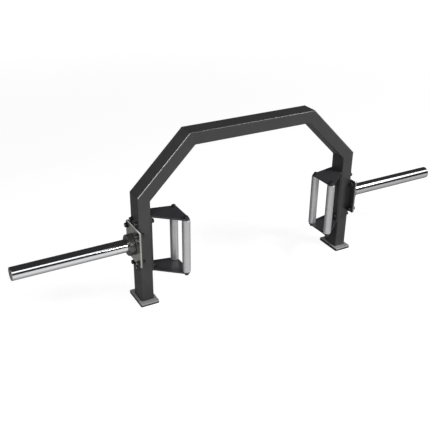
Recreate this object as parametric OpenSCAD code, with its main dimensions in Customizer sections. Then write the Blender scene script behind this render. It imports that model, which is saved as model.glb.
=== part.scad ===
// Open trap bar: a mitred arch on two feet, with a loading sleeve outside each leg
// and two grips inside it. Millimetres, +Z up, +X along the sleeves to the right.
// The origin lies on the floor, at the middle of the bar's length and depth.

/* [Frame] */
// Distance between the centrelines of the two legs
leg_spacing = 924; // [840:2:1040]
// Height of the lower bends' centreline above the floor
lower_bend_height = 438; // [420:1:500]
// Height of the top tube's centreline above the floor
top_tube_height = 638; // [580:1:740]
// Distance between the two upper bends
top_tube_span = 524; // [420:2:640]
// Width of the frame tube, seen from the front
tube_width = 50; // [44:1:60]
// Depth of the frame tube, front to back
tube_depth = 75; // [64:1:90]
// Wall thickness of the frame tube
tube_wall = 3; // [2:0.5:3.5]
// Outside corner radius of the frame tube
tube_corner = 4; // [4:0.5:8]

/* [Feet] */
// Overhang of the foot plate beside the leg
foot_overhang_side = 12.5; // [8:0.5:25]
// Overhang of the foot plate in front of and behind the leg
foot_overhang_end = 22.5; // [18:0.5:35]
// Corner radius of the foot plate and pad
foot_corner = 5; // [4:1:14]
// Thickness of the steel foot plate
foot_plate_thickness = 6; // [6:0.5:10]
// Thickness of the rubber foot pad
foot_pad_thickness = 6; // [5:0.5:12]
// Diameter of the pad screws
foot_screw_d = 6; // [4:1:8]
// Diameter of the pad screws' heads
foot_screw_head_d = 12; // [10:1:14]
// Height of the pad screws' heads
foot_screw_head_height = 2.5; // [1.5:0.5:3]
// Distance from the pad's underside up to the screw heads
foot_screw_recess = 1; // [0.5:0.5:1.5]
// Distance from the pad's end to the screws
foot_screw_inset = 11; // [9:1:12]
// Steel left above the pad screws
foot_screw_skin = 1; // [0.5:0.5:2]

/* [Sleeves] */
// Height of the sleeve axis above the floor
axis_height = 250; // [240:1:280]
// Diameter of the loading sleeve
sleeve_d = 50; // [48:0.5:52]
// Bore of the loading sleeve
sleeve_bore = 40; // [38:0.5:42]
// Length of sleeve that takes plates, from the collar to the end
sleeve_load_length = 432; // [300:1:500]
// Diameter of the collar
collar_d = 82; // [70:1:95]
// Length of the collar
collar_length = 21; // [12:1:40]
// Depth of the step on the sleeve that the collar seats against
collar_step = 1; // [0.5:0.25:1.5]
// Chamfer on the collar's outer edges
collar_chamfer = 1.5; // [0.5:0.5:3]
// Thickness of the end cap's lip
cap_lip = 4; // [3:0.5:6]
// Chamfer round the end cap's lip
cap_chamfer = 2; // [1:0.5:2.5]
// Length of the end cap's spigot inside the sleeve
cap_spigot = 8; // [4:1:10]

/* [Bearings] */
// Diameter of the fixed spindle
spindle_d = 30; // [26:0.5:34]
// Radial clearance between spindle and bushes
running_clearance = 0.05; // [0.02:0.01:0.09]
// Length of each bush
bush_length = 35; // [20:1:60]
// Clear distance between the retaining bolt's head and the end cap
cap_clearance = 4; // [1:0.5:10]
// Clear distance along the axis between turning and fixed faces
axial_play = 0.3; // [0.2:0.1:0.6]
// Width of the groove between hub ring and collar
groove_width = 2; // [1.5:0.1:4]
// Diameter of the thrust washer in the groove
thrust_washer_d = 60; // [44:1:66]
// Diameter of the retaining washer at the spindle's end
retaining_washer_d = 37; // [34:0.5:37]
// Thickness of the retaining washer
retaining_washer_thickness = 4; // [3:0.5:5]
// Diameter of the retaining bolt
retaining_bolt_d = 12; // [10:0.5:14]
// Width across flats of the retaining bolt's head
retaining_bolt_flats = 18; // [17:1:22]
// Height of the retaining bolt's head
retaining_bolt_head = 7.5; // [6:0.5:8]
// Depth of the retaining bolt in the spindle
retaining_bolt_depth = 28; // [18:1:45]

/* [Hub] */
// Thickness of the plate welded to the leg
hub_plate_thickness = 4; // [3:0.5:8]
// Thickness of the sleeve's flange
flange_thickness = 6; // [5:0.5:12]
// Distance from the leg's front or rear face to the flange bolts
flange_bolt_offset = 14.5; // [13:0.5:24]
// Distance between the upper and lower flange bolts
flange_bolt_rise = 114; // [100:1:116]
// Distance from the flange bolts to the plates' edges
flange_bolt_margin = 15; // [14:0.5:17]
// Corner radius of the hub plate and flange
hub_plate_corner = 4; // [2:0.5:12]
// Bevel along the flange's outer edges
flange_bevel = 1.5; // [0.5:0.5:3]
// Diameter of the hub ring
hub_ring_d = 82; // [70:1:88]
// Thickness of the hub ring
hub_ring_thickness = 3; // [2:0.5:8]

/* [Flange bolts] */
// Diameter of the flange bolts
flange_bolt_d = 12; // [10:0.5:12]
// Diameter of the flange bolts' heads
flange_head_d = 18; // [17:0.5:22]
// Height of the flange bolts' heads
flange_head_height = 8; // [5:0.5:9]
// Width across flats of the sockets in the flange bolts
flange_socket = 8; // [6:1:10]
// Diameter of the flange bolts' washers
flange_washer_d = 24; // [22:0.5:24]
// Width across flats of the flange nuts
flange_nut_flats = 19; // [18:0.5:19]
// Height of the flange nuts
flange_nut_height = 10; // [8:0.5:12]

/* [Handle bolts and screws] */
// Diameter of the bracket bolts and grip screws
handle_bolt_d = 10; // [8:0.5:10]
// Diameter of their heads
handle_head_d = 16.5; // [15:0.5:19]
// Height of their heads
handle_head_height = 8.5; // [4:0.5:9]
// Width across flats of their sockets
handle_socket = 6; // [5:1:8]
// Diameter of the bracket bolts' washers
handle_washer_d = 20; // [19:0.5:21]
// Width across flats of the bracket nuts
handle_nut_flats = 17; // [15:0.5:17]
// Height of the bracket nuts
handle_nut_height = 8; // [6:0.5:9]
// Depth of the grip screws in the grips
grip_screw_depth = 25; // [15:1:40]

/* [All bolts] */
// Radial clearance of a bolt in its hole
bolt_clearance = 0.5; // [0.2:0.1:0.8]
// Thickness of the washers
washer_thickness = 2; // [1.5:0.5:3]
// Length of bolt that stands out of its nut
bolt_tail = 1.5; // [1:0.5:6]
// Chamfer round the bolts' heads
head_chamfer = 1; // [0.5:0.5:2]

/* [Handles] */
// Distance from the leg's inner face to the grips' centreline
grip_reach = 109; // [90:1:140]
// Distance between the rear and front grips
grip_spacing = 106; // [80:1:130]
// Diameter of the grips
grip_d = 32; // [28:0.5:34]
// Length of the grips between the arms
grip_length = 220; // [214:1:232]
// Chamfer at the grips' ends
grip_chamfer = 2; // [0.5:0.5:3]
// Thickness of the handle arms
arm_thickness = 6; // [5:0.5:10]
// Radius of the handle arms' rounded ends
arm_tip_radius = 13; // [11:0.5:20]
// Thickness of the bracket plate on the leg's inner face
bracket_thickness = 5; // [4:0.5:10]
// Distance from the bracket plate's side to the leg's front or rear face
bracket_inset = 2.5; // [1:0.5:4]
// Distance from the bracket plate's side to the bracket bolts
bracket_bolt_margin = 11; // [10.5:0.5:14]
// Distance from the grips' ends to the bracket bolts
bracket_bolt_drop = 18; // [13:0.5:20]

/* [Hidden] */
$fn = 64;

// Extra length that lets a cutting shape pass cleanly through a face
cut = 1;
// Size of the blocks that cut mitres and bevels
block = 4 * (tube_width + tube_depth);
// Share of a bolt head's height that is left under its socket
socket_floor = 0.4;

// Frame
leg_x = leg_spacing / 2;
diagonal_run = (leg_spacing - top_tube_span) / 2;
diagonal_rise = top_tube_height - lower_bend_height;
diagonal_length = norm([diagonal_run, diagonal_rise]);
diagonal_lean = atan2(diagonal_run, diagonal_rise);
lower_mitre = diagonal_lean / 2;
upper_mitre = (90 - diagonal_lean) / 2;
leg_outer_x = leg_x + tube_width / 2;
leg_inner_x = leg_x - tube_width / 2;

// Feet
foot_width = tube_width + 2 * foot_overhang_side;
foot_length = tube_depth + 2 * foot_overhang_end;
foot_top = foot_pad_thickness + foot_plate_thickness;
foot_screw_y = foot_length / 2 - foot_screw_inset;

// Hub, counted outwards from the leg's outer face
flange_bolt_y = tube_depth / 2 + flange_bolt_offset;
flange_bolt_z = flange_bolt_rise / 2;
hub_width = 2 * (flange_bolt_y + flange_bolt_margin);
hub_height = 2 * (flange_bolt_z + flange_bolt_margin);
flange_x = leg_outer_x + hub_plate_thickness;
ring_x = flange_x + flange_thickness;
groove_x = ring_x + hub_ring_thickness;
collar_x = groove_x + groove_width;
load_x = collar_x + collar_length;
sleeve_end_x = load_x + sleeve_load_length;
cap_x = sleeve_end_x - cap_lip;
retaining_head_x = cap_x - cap_spigot - cap_clearance - retaining_bolt_head;
spindle_end_x = retaining_head_x - retaining_washer_thickness;
outer_bush_x = spindle_end_x - axial_play - bush_length;
thrust_washer_thickness = groove_width - axial_play;
collar_bore = sleeve_d - 2 * collar_step;

// Handles
grip_x = leg_inner_x - grip_reach;
bracket_x = leg_inner_x - bracket_thickness;
bracket_half = tube_depth / 2 - bracket_inset;
bracket_bolt_y = bracket_half - bracket_bolt_margin;
bracket_bolt_z = grip_length / 2 - bracket_bolt_drop;
grip_top_z = axis_height + grip_length / 2;
grip_bottom_z = axis_height - grip_length / 2;

// The sleeve axis lies behind the origin, which is the middle of the bar's depth
front_reach = grip_spacing + max(arm_tip_radius, grip_d / 2);
rear_reach = max(hub_width, foot_length) / 2;
axis_y = (front_reach - rear_reach) / 2;

// Point where the straight line from p meets the circle about c, on side s
function tangent_point(p, c, r, s) =
    let (gap = norm(c - p), aim = atan2(c[1] - p[1], c[0] - p[0]), swing = aim + s * asin(r / gap))
    p + sqrt(gap * gap - r * r) * [cos(swing), sin(swing)];

// Puts a right-hand piece at its place
module right() {
    translate([0, axis_y, 0])
    children();
}

// Puts a right-hand piece at its place on the left
module left() {
    translate([0, axis_y, 0])
    mirror([1, 0, 0])
    children();
}

// Rectangle with rounded corners, about the origin
module rounded_rectangle(size_x, size_y, r) {
    square([size_x - 2 * r, size_y], center = true);
    square([size_x, size_y - 2 * r], center = true);
    for (sx = [-1, 1], sy = [-1, 1])
        translate([sx * (size_x / 2 - r), sy * (size_y / 2 - r)])
        circle(r);
}

// Turns a shape drawn along Z so that it runs along X, starting at x
module along_x(x) {
    translate([x, 0, axis_height])
    rotate([0, 90, 0])
    children();
}

// Section of the frame tube
module tube_section() {
    difference() {
        rounded_rectangle(tube_width, tube_depth, tube_corner);
        rounded_rectangle(tube_width - 2 * tube_wall, tube_depth - 2 * tube_wall, tube_corner - tube_wall);
    }
}

// Frame tube along Z from 0 to length, its ends cut at the given angles
module mitred_tube(length, start_angle, end_angle) {
    difference() {
        translate([0, 0, -tube_width])
        linear_extrude(length + 2 * tube_width)
        tube_section();

        translate([0, 0, length])
        rotate([0, -end_angle, 0])
        translate([-block / 2, -block / 2, 0])
        cube(block);

        rotate([0, start_angle, 0])
        translate([-block / 2, -block / 2, -block])
        cube(block);
    }
}

// Round plate or tube along Z
module ring(outer_d, inner_d, thickness) {
    difference() {
        cylinder(d = outer_d, h = thickness);
        translate([0, 0, -cut])
        cylinder(d = inner_d, h = thickness + 2 * cut);
    }
}

// Bolt head standing on z = 0, with a chamfered rim and a hexagon socket
module bolt_head(head_d, height, socket) {
    rim = head_d / 2;
    difference() {
        rotate_extrude()
        polygon([[0, 0], [rim, 0], [rim, height - head_chamfer], [rim - head_chamfer, height], [0, height]]);

        translate([0, 0, height * socket_floor])
        cylinder(d = socket / cos(30), h = height, $fn = 6);
    }
}

// Bolt along Z: its washer stands on z = 0, its shank reaches down from there
module washer_bolt(d, head_d, head_height, socket, washer_d, reach) {
    ring(washer_d, d, washer_thickness);

    translate([0, 0, washer_thickness])
    bolt_head(head_d, head_height, socket);

    translate([0, 0, -reach])
    cylinder(d = d, h = reach + washer_thickness);
}

// Hexagon nut that hangs with its washer below z = 0
module washer_nut(d, flats, height, washer_d) {
    translate([0, 0, -washer_thickness])
    ring(washer_d, d, washer_thickness);

    translate([0, 0, -washer_thickness - height])
    difference() {
        cylinder(d = flats / cos(30), h = height, $fn = 6);
        translate([0, 0, -cut])
        cylinder(d = d, h = height + 2 * cut);
    }
}

// Places of the four flange bolts
module at_flange_bolts() {
    for (sy = [-1, 1], sz = [-1, 1])
        translate([0, sy * flange_bolt_y, sz * flange_bolt_z])
        children();
}

// Places of the four bracket bolts
module at_bracket_bolts() {
    for (sy = [-1, 1], sz = [-1, 1])
        translate([0, sy * bracket_bolt_y, sz * bracket_bolt_z])
        children();
}

// Places of the two pad screws
module at_foot_screws() {
    for (sy = [-1, 1])
        translate([leg_x, sy * foot_screw_y, 0])
        children();
}

// Places of the two grips
module at_grips() {
    for (y = [0, -grip_spacing])
        translate([grip_x, y, 0])
        children();
}

module top_tube() {
    color("#3a3a3c")
    translate([top_tube_span / 2, axis_y, top_tube_height])
    rotate([0, -90, 0])
    mitred_tube(top_tube_span, upper_mitre, upper_mitre);
}

module diagonal() {
    color("#3a3a3c")
    translate([leg_x, 0, lower_bend_height])
    rotate([0, -diagonal_lean, 0])
    mitred_tube(diagonal_length, lower_mitre, upper_mitre);
}

module leg() {
    color("#3a3a3c")
    difference() {
        translate([leg_x, 0, foot_top])
        mitred_tube(lower_bend_height - foot_top, 0, lower_mitre);

        at_bracket_bolts()
        along_x(leg_inner_x - cut)
        cylinder(d = handle_bolt_d + 2 * bolt_clearance, h = tube_width + 2 * cut);
    }
}

module foot_plate() {
    color("#8a8a8c")
    difference() {
        translate([leg_x, 0, foot_pad_thickness])
        linear_extrude(foot_plate_thickness)
        rounded_rectangle(foot_width, foot_length, foot_corner);

        at_foot_screws()
        translate([0, 0, foot_pad_thickness - cut])
        cylinder(d = foot_screw_d, h = foot_plate_thickness - foot_screw_skin + cut);
    }
}

module foot_pad() {
    color("#1c1c1d")
    difference() {
        translate([leg_x, 0, 0])
        linear_extrude(foot_pad_thickness)
        rounded_rectangle(foot_width, foot_length, foot_corner);

        at_foot_screws() {
            translate([0, 0, -cut])
            cylinder(d = foot_screw_d, h = foot_pad_thickness + 2 * cut);

            translate([0, 0, -cut])
            cylinder(d = foot_screw_head_d, h = foot_screw_recess + foot_screw_head_height + cut);
        }
    }
}

module foot_screws() {
    color("#6c6c6e")
    at_foot_screws() {
        translate([0, 0, foot_screw_recess])
        cylinder(d = foot_screw_head_d, h = foot_screw_head_height);

        translate([0, 0, foot_screw_recess + foot_screw_head_height])
        cylinder(d = foot_screw_d, h = foot_top - foot_screw_skin - foot_screw_recess - foot_screw_head_height);
    }
}

// Outline of hub plate and flange, with the bolt holes; its X runs down and its Y runs back
module hub_outline() {
    difference() {
        rounded_rectangle(hub_height, hub_width, hub_plate_corner);
        for (sz = [-1, 1], sy = [-1, 1])
            translate([sz * flange_bolt_z, sy * flange_bolt_y])
            circle(d = flange_bolt_d + 2 * bolt_clearance);
    }
}

module hub_plate() {
    color("#303032")
    along_x(leg_outer_x)
    linear_extrude(hub_plate_thickness)
    hub_outline();
}

module sleeve_flange() {
    color("#8d8d85")
    along_x(flange_x)
    difference() {
        linear_extrude(flange_thickness)
        hub_outline();

        translate([0, 0, -cut])
        cylinder(d = spindle_d, h = flange_thickness + 2 * cut);

        for (s = [-1, 1]) {
            translate([s * hub_height / 2, 0, flange_thickness - flange_bevel])
            rotate([0, s * 45, 0])
            translate([-block / 2, -block / 2, 0])
            cube(block);

            translate([0, s * hub_width / 2, flange_thickness - flange_bevel])
            rotate([-s * 45, 0, 0])
            translate([-block / 2, -block / 2, 0])
            cube(block);
        }
    }
}

module hub_ring() {
    color("#4a4a4c")
    along_x(ring_x)
    ring(hub_ring_d, spindle_d, hub_ring_thickness);
}

module spindle() {
    color("#9a9a9c")
    difference() {
        along_x(flange_x)
        cylinder(d = spindle_d, h = spindle_end_x - flange_x);

        along_x(spindle_end_x - retaining_bolt_depth)
        cylinder(d = retaining_bolt_d, h = retaining_bolt_depth + cut);
    }
}

module thrust_washer() {
    color("#c9b27a")
    along_x(groove_x)
    ring(thrust_washer_d, spindle_d, thrust_washer_thickness);
}

module retaining_washer() {
    color("#9a9a9c")
    along_x(spindle_end_x)
    ring(retaining_washer_d, retaining_bolt_d, retaining_washer_thickness);
}

module retaining_bolt() {
    color("#6c6c6e")
    union() {
        along_x(spindle_end_x - retaining_bolt_depth)
        cylinder(d = retaining_bolt_d, h = retaining_bolt_depth + retaining_washer_thickness);

        along_x(retaining_head_x)
        cylinder(d = retaining_bolt_flats / cos(30), h = retaining_bolt_head, $fn = 6);
    }
}

module flange_bolts() {
    reach = flange_thickness + hub_plate_thickness + washer_thickness + flange_nut_height + bolt_tail;
    color("#1e1e20")
    at_flange_bolts()
    along_x(ring_x)
    washer_bolt(flange_bolt_d, flange_head_d, flange_head_height, flange_socket, flange_washer_d, reach);
}

module flange_nuts() {
    color("#1e1e20")
    at_flange_bolts()
    along_x(leg_outer_x)
    washer_nut(flange_bolt_d, flange_nut_flats, flange_nut_height, flange_washer_d);
}

module sleeve() {
    color("#c8c8cc")
    difference() {
        union() {
            along_x(collar_x)
            cylinder(d = collar_bore, h = cap_x - collar_x);

            along_x(load_x)
            cylinder(d = sleeve_d, h = cap_x - load_x);
        }

        along_x(collar_x - cut)
        cylinder(d = sleeve_bore, h = cap_x - collar_x + 2 * cut);
    }
}

module collar() {
    inner_r = collar_bore / 2;
    outer_r = collar_d / 2;
    edge_r = outer_r - collar_chamfer;
    edge_z = collar_length - collar_chamfer;
    color("#4a4a4c")
    along_x(collar_x)
    rotate_extrude()
    polygon([
        [inner_r, 0], [edge_r, 0], [outer_r, collar_chamfer],
        [outer_r, edge_z], [edge_r, collar_length], [inner_r, collar_length]
    ]);
}

module inner_bush() {
    color("#b08a4e")
    along_x(collar_x)
    ring(sleeve_bore, spindle_d + 2 * running_clearance, bush_length);
}

module outer_bush() {
    color("#b08a4e")
    along_x(outer_bush_x)
    ring(sleeve_bore, spindle_d + 2 * running_clearance, bush_length);
}

module end_cap() {
    lip_r = sleeve_d / 2;
    edge_z = cap_lip - cap_chamfer;
    color("#b9b9bd")
    along_x(cap_x)
    rotate_extrude()
    polygon([
        [0, -cap_spigot], [sleeve_bore / 2, -cap_spigot], [sleeve_bore / 2, 0], [lip_r, 0],
        [lip_r, edge_z], [lip_r - cap_chamfer, cap_lip], [0, cap_lip]
    ]);
}

module bracket_plate() {
    height = grip_length + 2 * arm_thickness;
    color("#2d2d30")
    difference() {
        translate([bracket_x, -bracket_half, axis_height - height / 2])
        cube([bracket_thickness, 2 * bracket_half, height]);

        at_bracket_bolts()
        along_x(bracket_x - cut)
        cylinder(d = handle_bolt_d + 2 * bolt_clearance, h = bracket_thickness + 2 * cut);
    }
}

// Plan of a handle arm: rounded ends over both grips, tapered in to the bracket plate
module arm_plan() {
    rear = [grip_x, 0];
    front = [grip_x, -grip_spacing];
    base_rear = [bracket_x, bracket_half];
    base_front = [bracket_x, -bracket_half];
    difference() {
        union() {
            polygon([
                base_front, base_rear,
                tangent_point(base_rear, rear, arm_tip_radius, -1),
                rear - [arm_tip_radius, 0],
                front - [arm_tip_radius, 0],
                tangent_point(base_front, front, arm_tip_radius, 1)
            ]);
            translate(rear)
            circle(arm_tip_radius);
            translate(front)
            circle(arm_tip_radius);
        }
        translate(rear)
        circle(d = handle_bolt_d + 2 * bolt_clearance);
        translate(front)
        circle(d = handle_bolt_d + 2 * bolt_clearance);
    }
}

module handle_arm(z) {
    color("#2d2d30")
    translate([0, 0, z])
    linear_extrude(arm_thickness)
    arm_plan();
}

module grip(y) {
    r = grip_d / 2;
    edge_r = r - grip_chamfer;
    color("#b5b5b8")
    translate([grip_x, y, grip_bottom_z])
    difference() {
        rotate_extrude()
        polygon([
            [0, 0], [edge_r, 0], [r, grip_chamfer],
            [r, grip_length - grip_chamfer], [edge_r, grip_length], [0, grip_length]
        ]);

        translate([0, 0, -cut])
        cylinder(d = handle_bolt_d, h = grip_screw_depth + cut);

        translate([0, 0, grip_length - grip_screw_depth])
        cylinder(d = handle_bolt_d, h = grip_screw_depth + cut);
    }
}

module grip_screws() {
    color("#1e1e20")
    at_grips()
    for (up = [-1, 1])
        translate([0, 0, axis_height + up * (grip_length / 2 + arm_thickness)])
        mirror([0, 0, up < 0 ? 1 : 0]) {
            bolt_head(handle_head_d, handle_head_height, handle_socket);

            translate([0, 0, -arm_thickness - grip_screw_depth])
            cylinder(d = handle_bolt_d, h = arm_thickness + grip_screw_depth);
        }
}

module bracket_bolts() {
    reach = tube_width + bracket_thickness + washer_thickness + handle_nut_height + bolt_tail;
    color("#1e1e20")
    at_bracket_bolts()
    along_x(leg_outer_x)
    washer_bolt(handle_bolt_d, handle_head_d, handle_head_height, handle_socket, handle_washer_d, reach);
}

module bracket_nuts() {
    color("#1e1e20")
    at_bracket_bolts()
    along_x(bracket_x)
    washer_nut(handle_bolt_d, handle_nut_flats, handle_nut_height, handle_washer_d);
}

top_tube();
left() diagonal();  // diagonal_left
right() diagonal();  // diagonal_right
left() leg();  // leg_left
right() leg();  // leg_right
left() foot_plate();  // foot_plate_left
right() foot_plate();  // foot_plate_right
left() foot_pad();  // foot_pad_left
right() foot_pad();  // foot_pad_right
left() foot_screws();  // foot_screws_left
right() foot_screws();  // foot_screws_right
left() hub_plate();  // hub_plate_left
right() hub_plate();  // hub_plate_right
left() sleeve_flange();  // sleeve_flange_left
right() sleeve_flange();  // sleeve_flange_right
left() hub_ring();  // hub_ring_left
right() hub_ring();  // hub_ring_right
left() spindle();  // spindle_left
right() spindle();  // spindle_right
left() thrust_washer();  // thrust_washer_left
right() thrust_washer();  // thrust_washer_right
left() retaining_washer();  // retaining_washer_left
right() retaining_washer();  // retaining_washer_right
left() retaining_bolt();  // retaining_bolt_left
right() retaining_bolt();  // retaining_bolt_right
left() flange_bolts();  // flange_bolts_left
right() flange_bolts();  // flange_bolts_right
left() flange_nuts();  // flange_nuts_left
right() flange_nuts();  // flange_nuts_right
left() sleeve();  // sleeve_left
right() sleeve();  // sleeve_right
left() collar();  // collar_left
right() collar();  // collar_right
left() inner_bush();  // inner_bush_left
right() inner_bush();  // inner_bush_right
left() outer_bush();  // outer_bush_left
right() outer_bush();  // outer_bush_right
left() end_cap();  // end_cap_left
right() end_cap();  // end_cap_right
left() bracket_plate();  // bracket_plate_left
right() bracket_plate();  // bracket_plate_right
left() handle_arm(grip_top_z);  // handle_arm_upper_left
right() handle_arm(grip_top_z);  // handle_arm_upper_right
left() handle_arm(grip_bottom_z - arm_thickness);  // handle_arm_lower_left
right() handle_arm(grip_bottom_z - arm_thickness);  // handle_arm_lower_right
left() grip(0);  // grip_rear_left
right() grip(0);  // grip_rear_right
left() grip(-grip_spacing);  // grip_front_left
right() grip(-grip_spacing);  // grip_front_right
left() grip_screws();  // grip_screws_left
right() grip_screws();  // grip_screws_right
left() bracket_bolts();  // bracket_bolts_left
right() bracket_bolts();  // bracket_bolts_right
left() bracket_nuts();  // bracket_nuts_left
right() bracket_nuts();  // bracket_nuts_right
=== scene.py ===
"""Open hex trap bar: its finished pieces, a pale studio and the photograph's camera.

Sizes are in millimetres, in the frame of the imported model: +X towards the right
sleeve, +Z up, and the lifter's back towards +Y. Solid turns them into metres, and
the studio and the camera are in metres from the start.
"""

import logging
import math
from dataclasses import dataclass, field
from enum import Enum
from typing import Callable, Sequence

import bmesh
import bpy
from mathutils import Matrix, Vector


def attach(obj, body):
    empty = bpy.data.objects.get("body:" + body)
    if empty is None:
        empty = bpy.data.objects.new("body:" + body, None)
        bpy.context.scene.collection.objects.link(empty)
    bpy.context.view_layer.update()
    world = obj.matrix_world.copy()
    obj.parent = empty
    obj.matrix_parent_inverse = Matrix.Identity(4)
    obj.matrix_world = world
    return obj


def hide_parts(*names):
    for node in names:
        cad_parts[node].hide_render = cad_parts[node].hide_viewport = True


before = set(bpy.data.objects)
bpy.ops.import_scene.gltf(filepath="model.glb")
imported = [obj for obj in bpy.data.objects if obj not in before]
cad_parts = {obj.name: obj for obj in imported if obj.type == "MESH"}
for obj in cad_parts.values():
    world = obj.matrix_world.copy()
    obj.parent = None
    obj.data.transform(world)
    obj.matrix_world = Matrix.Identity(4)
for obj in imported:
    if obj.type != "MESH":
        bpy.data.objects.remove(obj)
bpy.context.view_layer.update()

LOG = logging.getLogger("trap_bar")
MM = 0.001
TURN = 2 * math.pi

# The plane and the height of the sleeves, and the legs that carry them
AXIS_Y, AXIS_Z = 27.5, 250
LEG_X, LEG_WIDTH, LEG_DEPTH = 462, 50, 75
LEG_INSIDE, LEG_OUTSIDE = LEG_X - LEG_WIDTH / 2, LEG_X + LEG_WIDTH / 2

# How a face is marked: bare metal where it is worn or sawn, or darkened as painted shade
BARE, SHADED = 1.0, -1.0

# How far a face's normal lies along an axis where the face counts as looking along it
SQUARELY = 0.7

# Where most of a noise lies, and a whole share
GRAIN, SHARE = (0.3, 0.7), (0.0, 1.0)

Point = tuple[float, float]
Colour = tuple[float, float, float]
Outline = list[Point]
Profile = Callable[[float], Outline]
Ring = Sequence[Vector]
Face = bmesh.types.BMFace
Socket = bpy.types.NodeSocket
Value = Socket | float | Sequence[float]


class Side(Enum):
    """The two ends of the bar, named for the lifter who stands in it."""

    LEFT = -1
    RIGHT = 1

    def node(self, stem: str) -> str:
        """Returns the name of this side's piece."""
        return f"{stem}_{self.name.lower()}"


class Slot(Enum):
    """The record's material slots."""

    FRAME = "frame_paint"
    HANDLE = "handle_paint"
    FOOT = "foot_steel"
    PAD = "pad_rubber"
    FLANGE = "flange_steel"
    SLEEVE = "sleeve_chrome"
    COLLAR = "collar_steel"
    GRIP = "grip_steel"
    BOLT = "bolt_black"


# Outlines and profiles


def quarter(steps: int) -> list[float]:
    """Returns the angles of a quarter turn, from 0 up."""
    return [math.pi / 2 * k / steps for k in range(steps + 1)]


def rounded(corners: Outline, radii: Sequence[float], steps: int = 5, closed: bool = True) -> Outline:
    """Rounds the corners of an outline.

    Args:
        corners: The sharp outline.
        radii: One radius for each corner, 0 where it stays sharp.
        steps: Faces along each rounded corner.
        closed: Whether the last corner joins the first.

    Returns:
        The outline with an arc in place of each rounded corner.
    """
    result: Outline = []
    count = len(corners)
    for i, (corner, radius) in enumerate(zip(corners, radii)):
        at = Vector(corner)
        if radius <= 0 or (not closed and i in (0, count - 1)):
            result.append((at.x, at.y))
            continue
        back = (Vector(corners[i - 1]) - at).normalized()
        onward = (Vector(corners[(i + 1) % count]) - at).normalized()
        half = back.angle(onward) / 2
        reach = radius / math.tan(half)
        centre = at + (back + onward).normalized() * radius / math.sin(half)
        first, last = at + back * reach - centre, at + onward * reach - centre
        sweep = first.angle(last)
        for k in range(steps + 1):
            share = k / steps
            arm = (first * math.sin((1 - share) * sweep) + last * math.sin(share * sweep)) / math.sin(sweep)
            result.append((centre.x + arm.x, centre.y + arm.y))
    return result


def rectangle(width: float, height: float, corner: float, steps: int = 6) -> Outline:
    """Returns a rounded rectangle about the origin."""
    x, y = width / 2, height / 2
    return rounded([(-x, -y), (x, -y), (x, y), (-x, y)], [corner] * 4, steps)


def circle(x: float, y: float, radius: float, count: int) -> Outline:
    """Returns a circle as a closed outline."""
    angles = [TURN * i / count for i in range(count)]
    return [(x + radius * math.cos(angle), y + radius * math.sin(angle)) for angle in angles]


def inset(outline: Outline, distance: float) -> Outline:
    """Moves each side of an anticlockwise outline inwards.

    Args:
        outline: The closed outline.
        distance: How far the sides move; outwards where it is negative.

    Returns:
        The moved outline, with one point for each point of the first.
    """
    sharpest = 0.3
    result = []
    for i, corner in enumerate(outline):
        at = Vector(corner)
        into = (at - Vector(outline[i - 1])).normalized()
        out = (Vector(outline[(i + 1) % len(outline)]) - at).normalized()
        normal = Vector((-into.y - out.y, into.x + out.x)).normalized()
        reach = distance / max(sharpest, normal.dot(Vector((-into.y, into.x))))
        result.append((at.x + normal.x * reach, at.y + normal.y * reach))
    return result


def wrap(points: Outline) -> Outline:
    """Pulls a strap tight round some points.

    Args:
        points: The points, in any order.

    Returns:
        The strap's outline, anticlockwise.
    """
    straight = 1e-6

    def chain(ordered: Outline) -> Outline:
        """Pulls half the strap tight.

        Args:
            ordered: The points from one end to the other.

        Returns:
            The half's corners, without its last.
        """
        kept: Outline = []
        for x, y in ordered:
            while len(kept) > 1:
                (ax, ay), (bx, by) = kept[-2], kept[-1]
                if (bx - ax) * (y - ay) - (by - ay) * (x - ax) > straight:
                    break
                kept.pop()
            kept.append((x, y))
        return kept[:-1]

    ordered = sorted(set(points))
    return chain(ordered) + chain(ordered[::-1])


def hex_radius(flats: float, angle: float, cut: float = 0.985) -> float:
    """Gives how far a hexagon's edge is from its middle.

    Args:
        flats: The size across flats.
        angle: The direction from the middle.
        cut: How much of the corner is left, which is a little worn off.

    Returns:
        The distance in that direction.
    """
    turned = (angle + math.pi / 6) % (math.pi / 3) - math.pi / 6
    return min(flats / 2 / math.cos(turned), cut * flats / math.sqrt(3))


# Placing


def across(y: float, z: float) -> Matrix:
    """Returns the placing of a turned piece whose axis lies along +X."""
    return Matrix(((0, 0, 1, 0), (1, 0, 0, y), (0, 1, 0, z), (0, 0, 0, 1)))


def upright(x: float, y: float) -> Matrix:
    """Returns the placing of a turned piece whose axis points up."""
    return Matrix.Translation((x, y, 0))


def inverted(x: float, y: float) -> Matrix:
    """Returns the placing of a turned piece whose axis points down."""
    return upright(x, y) @ Matrix.Rotation(math.pi, 4, "X")


# Solids


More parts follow.
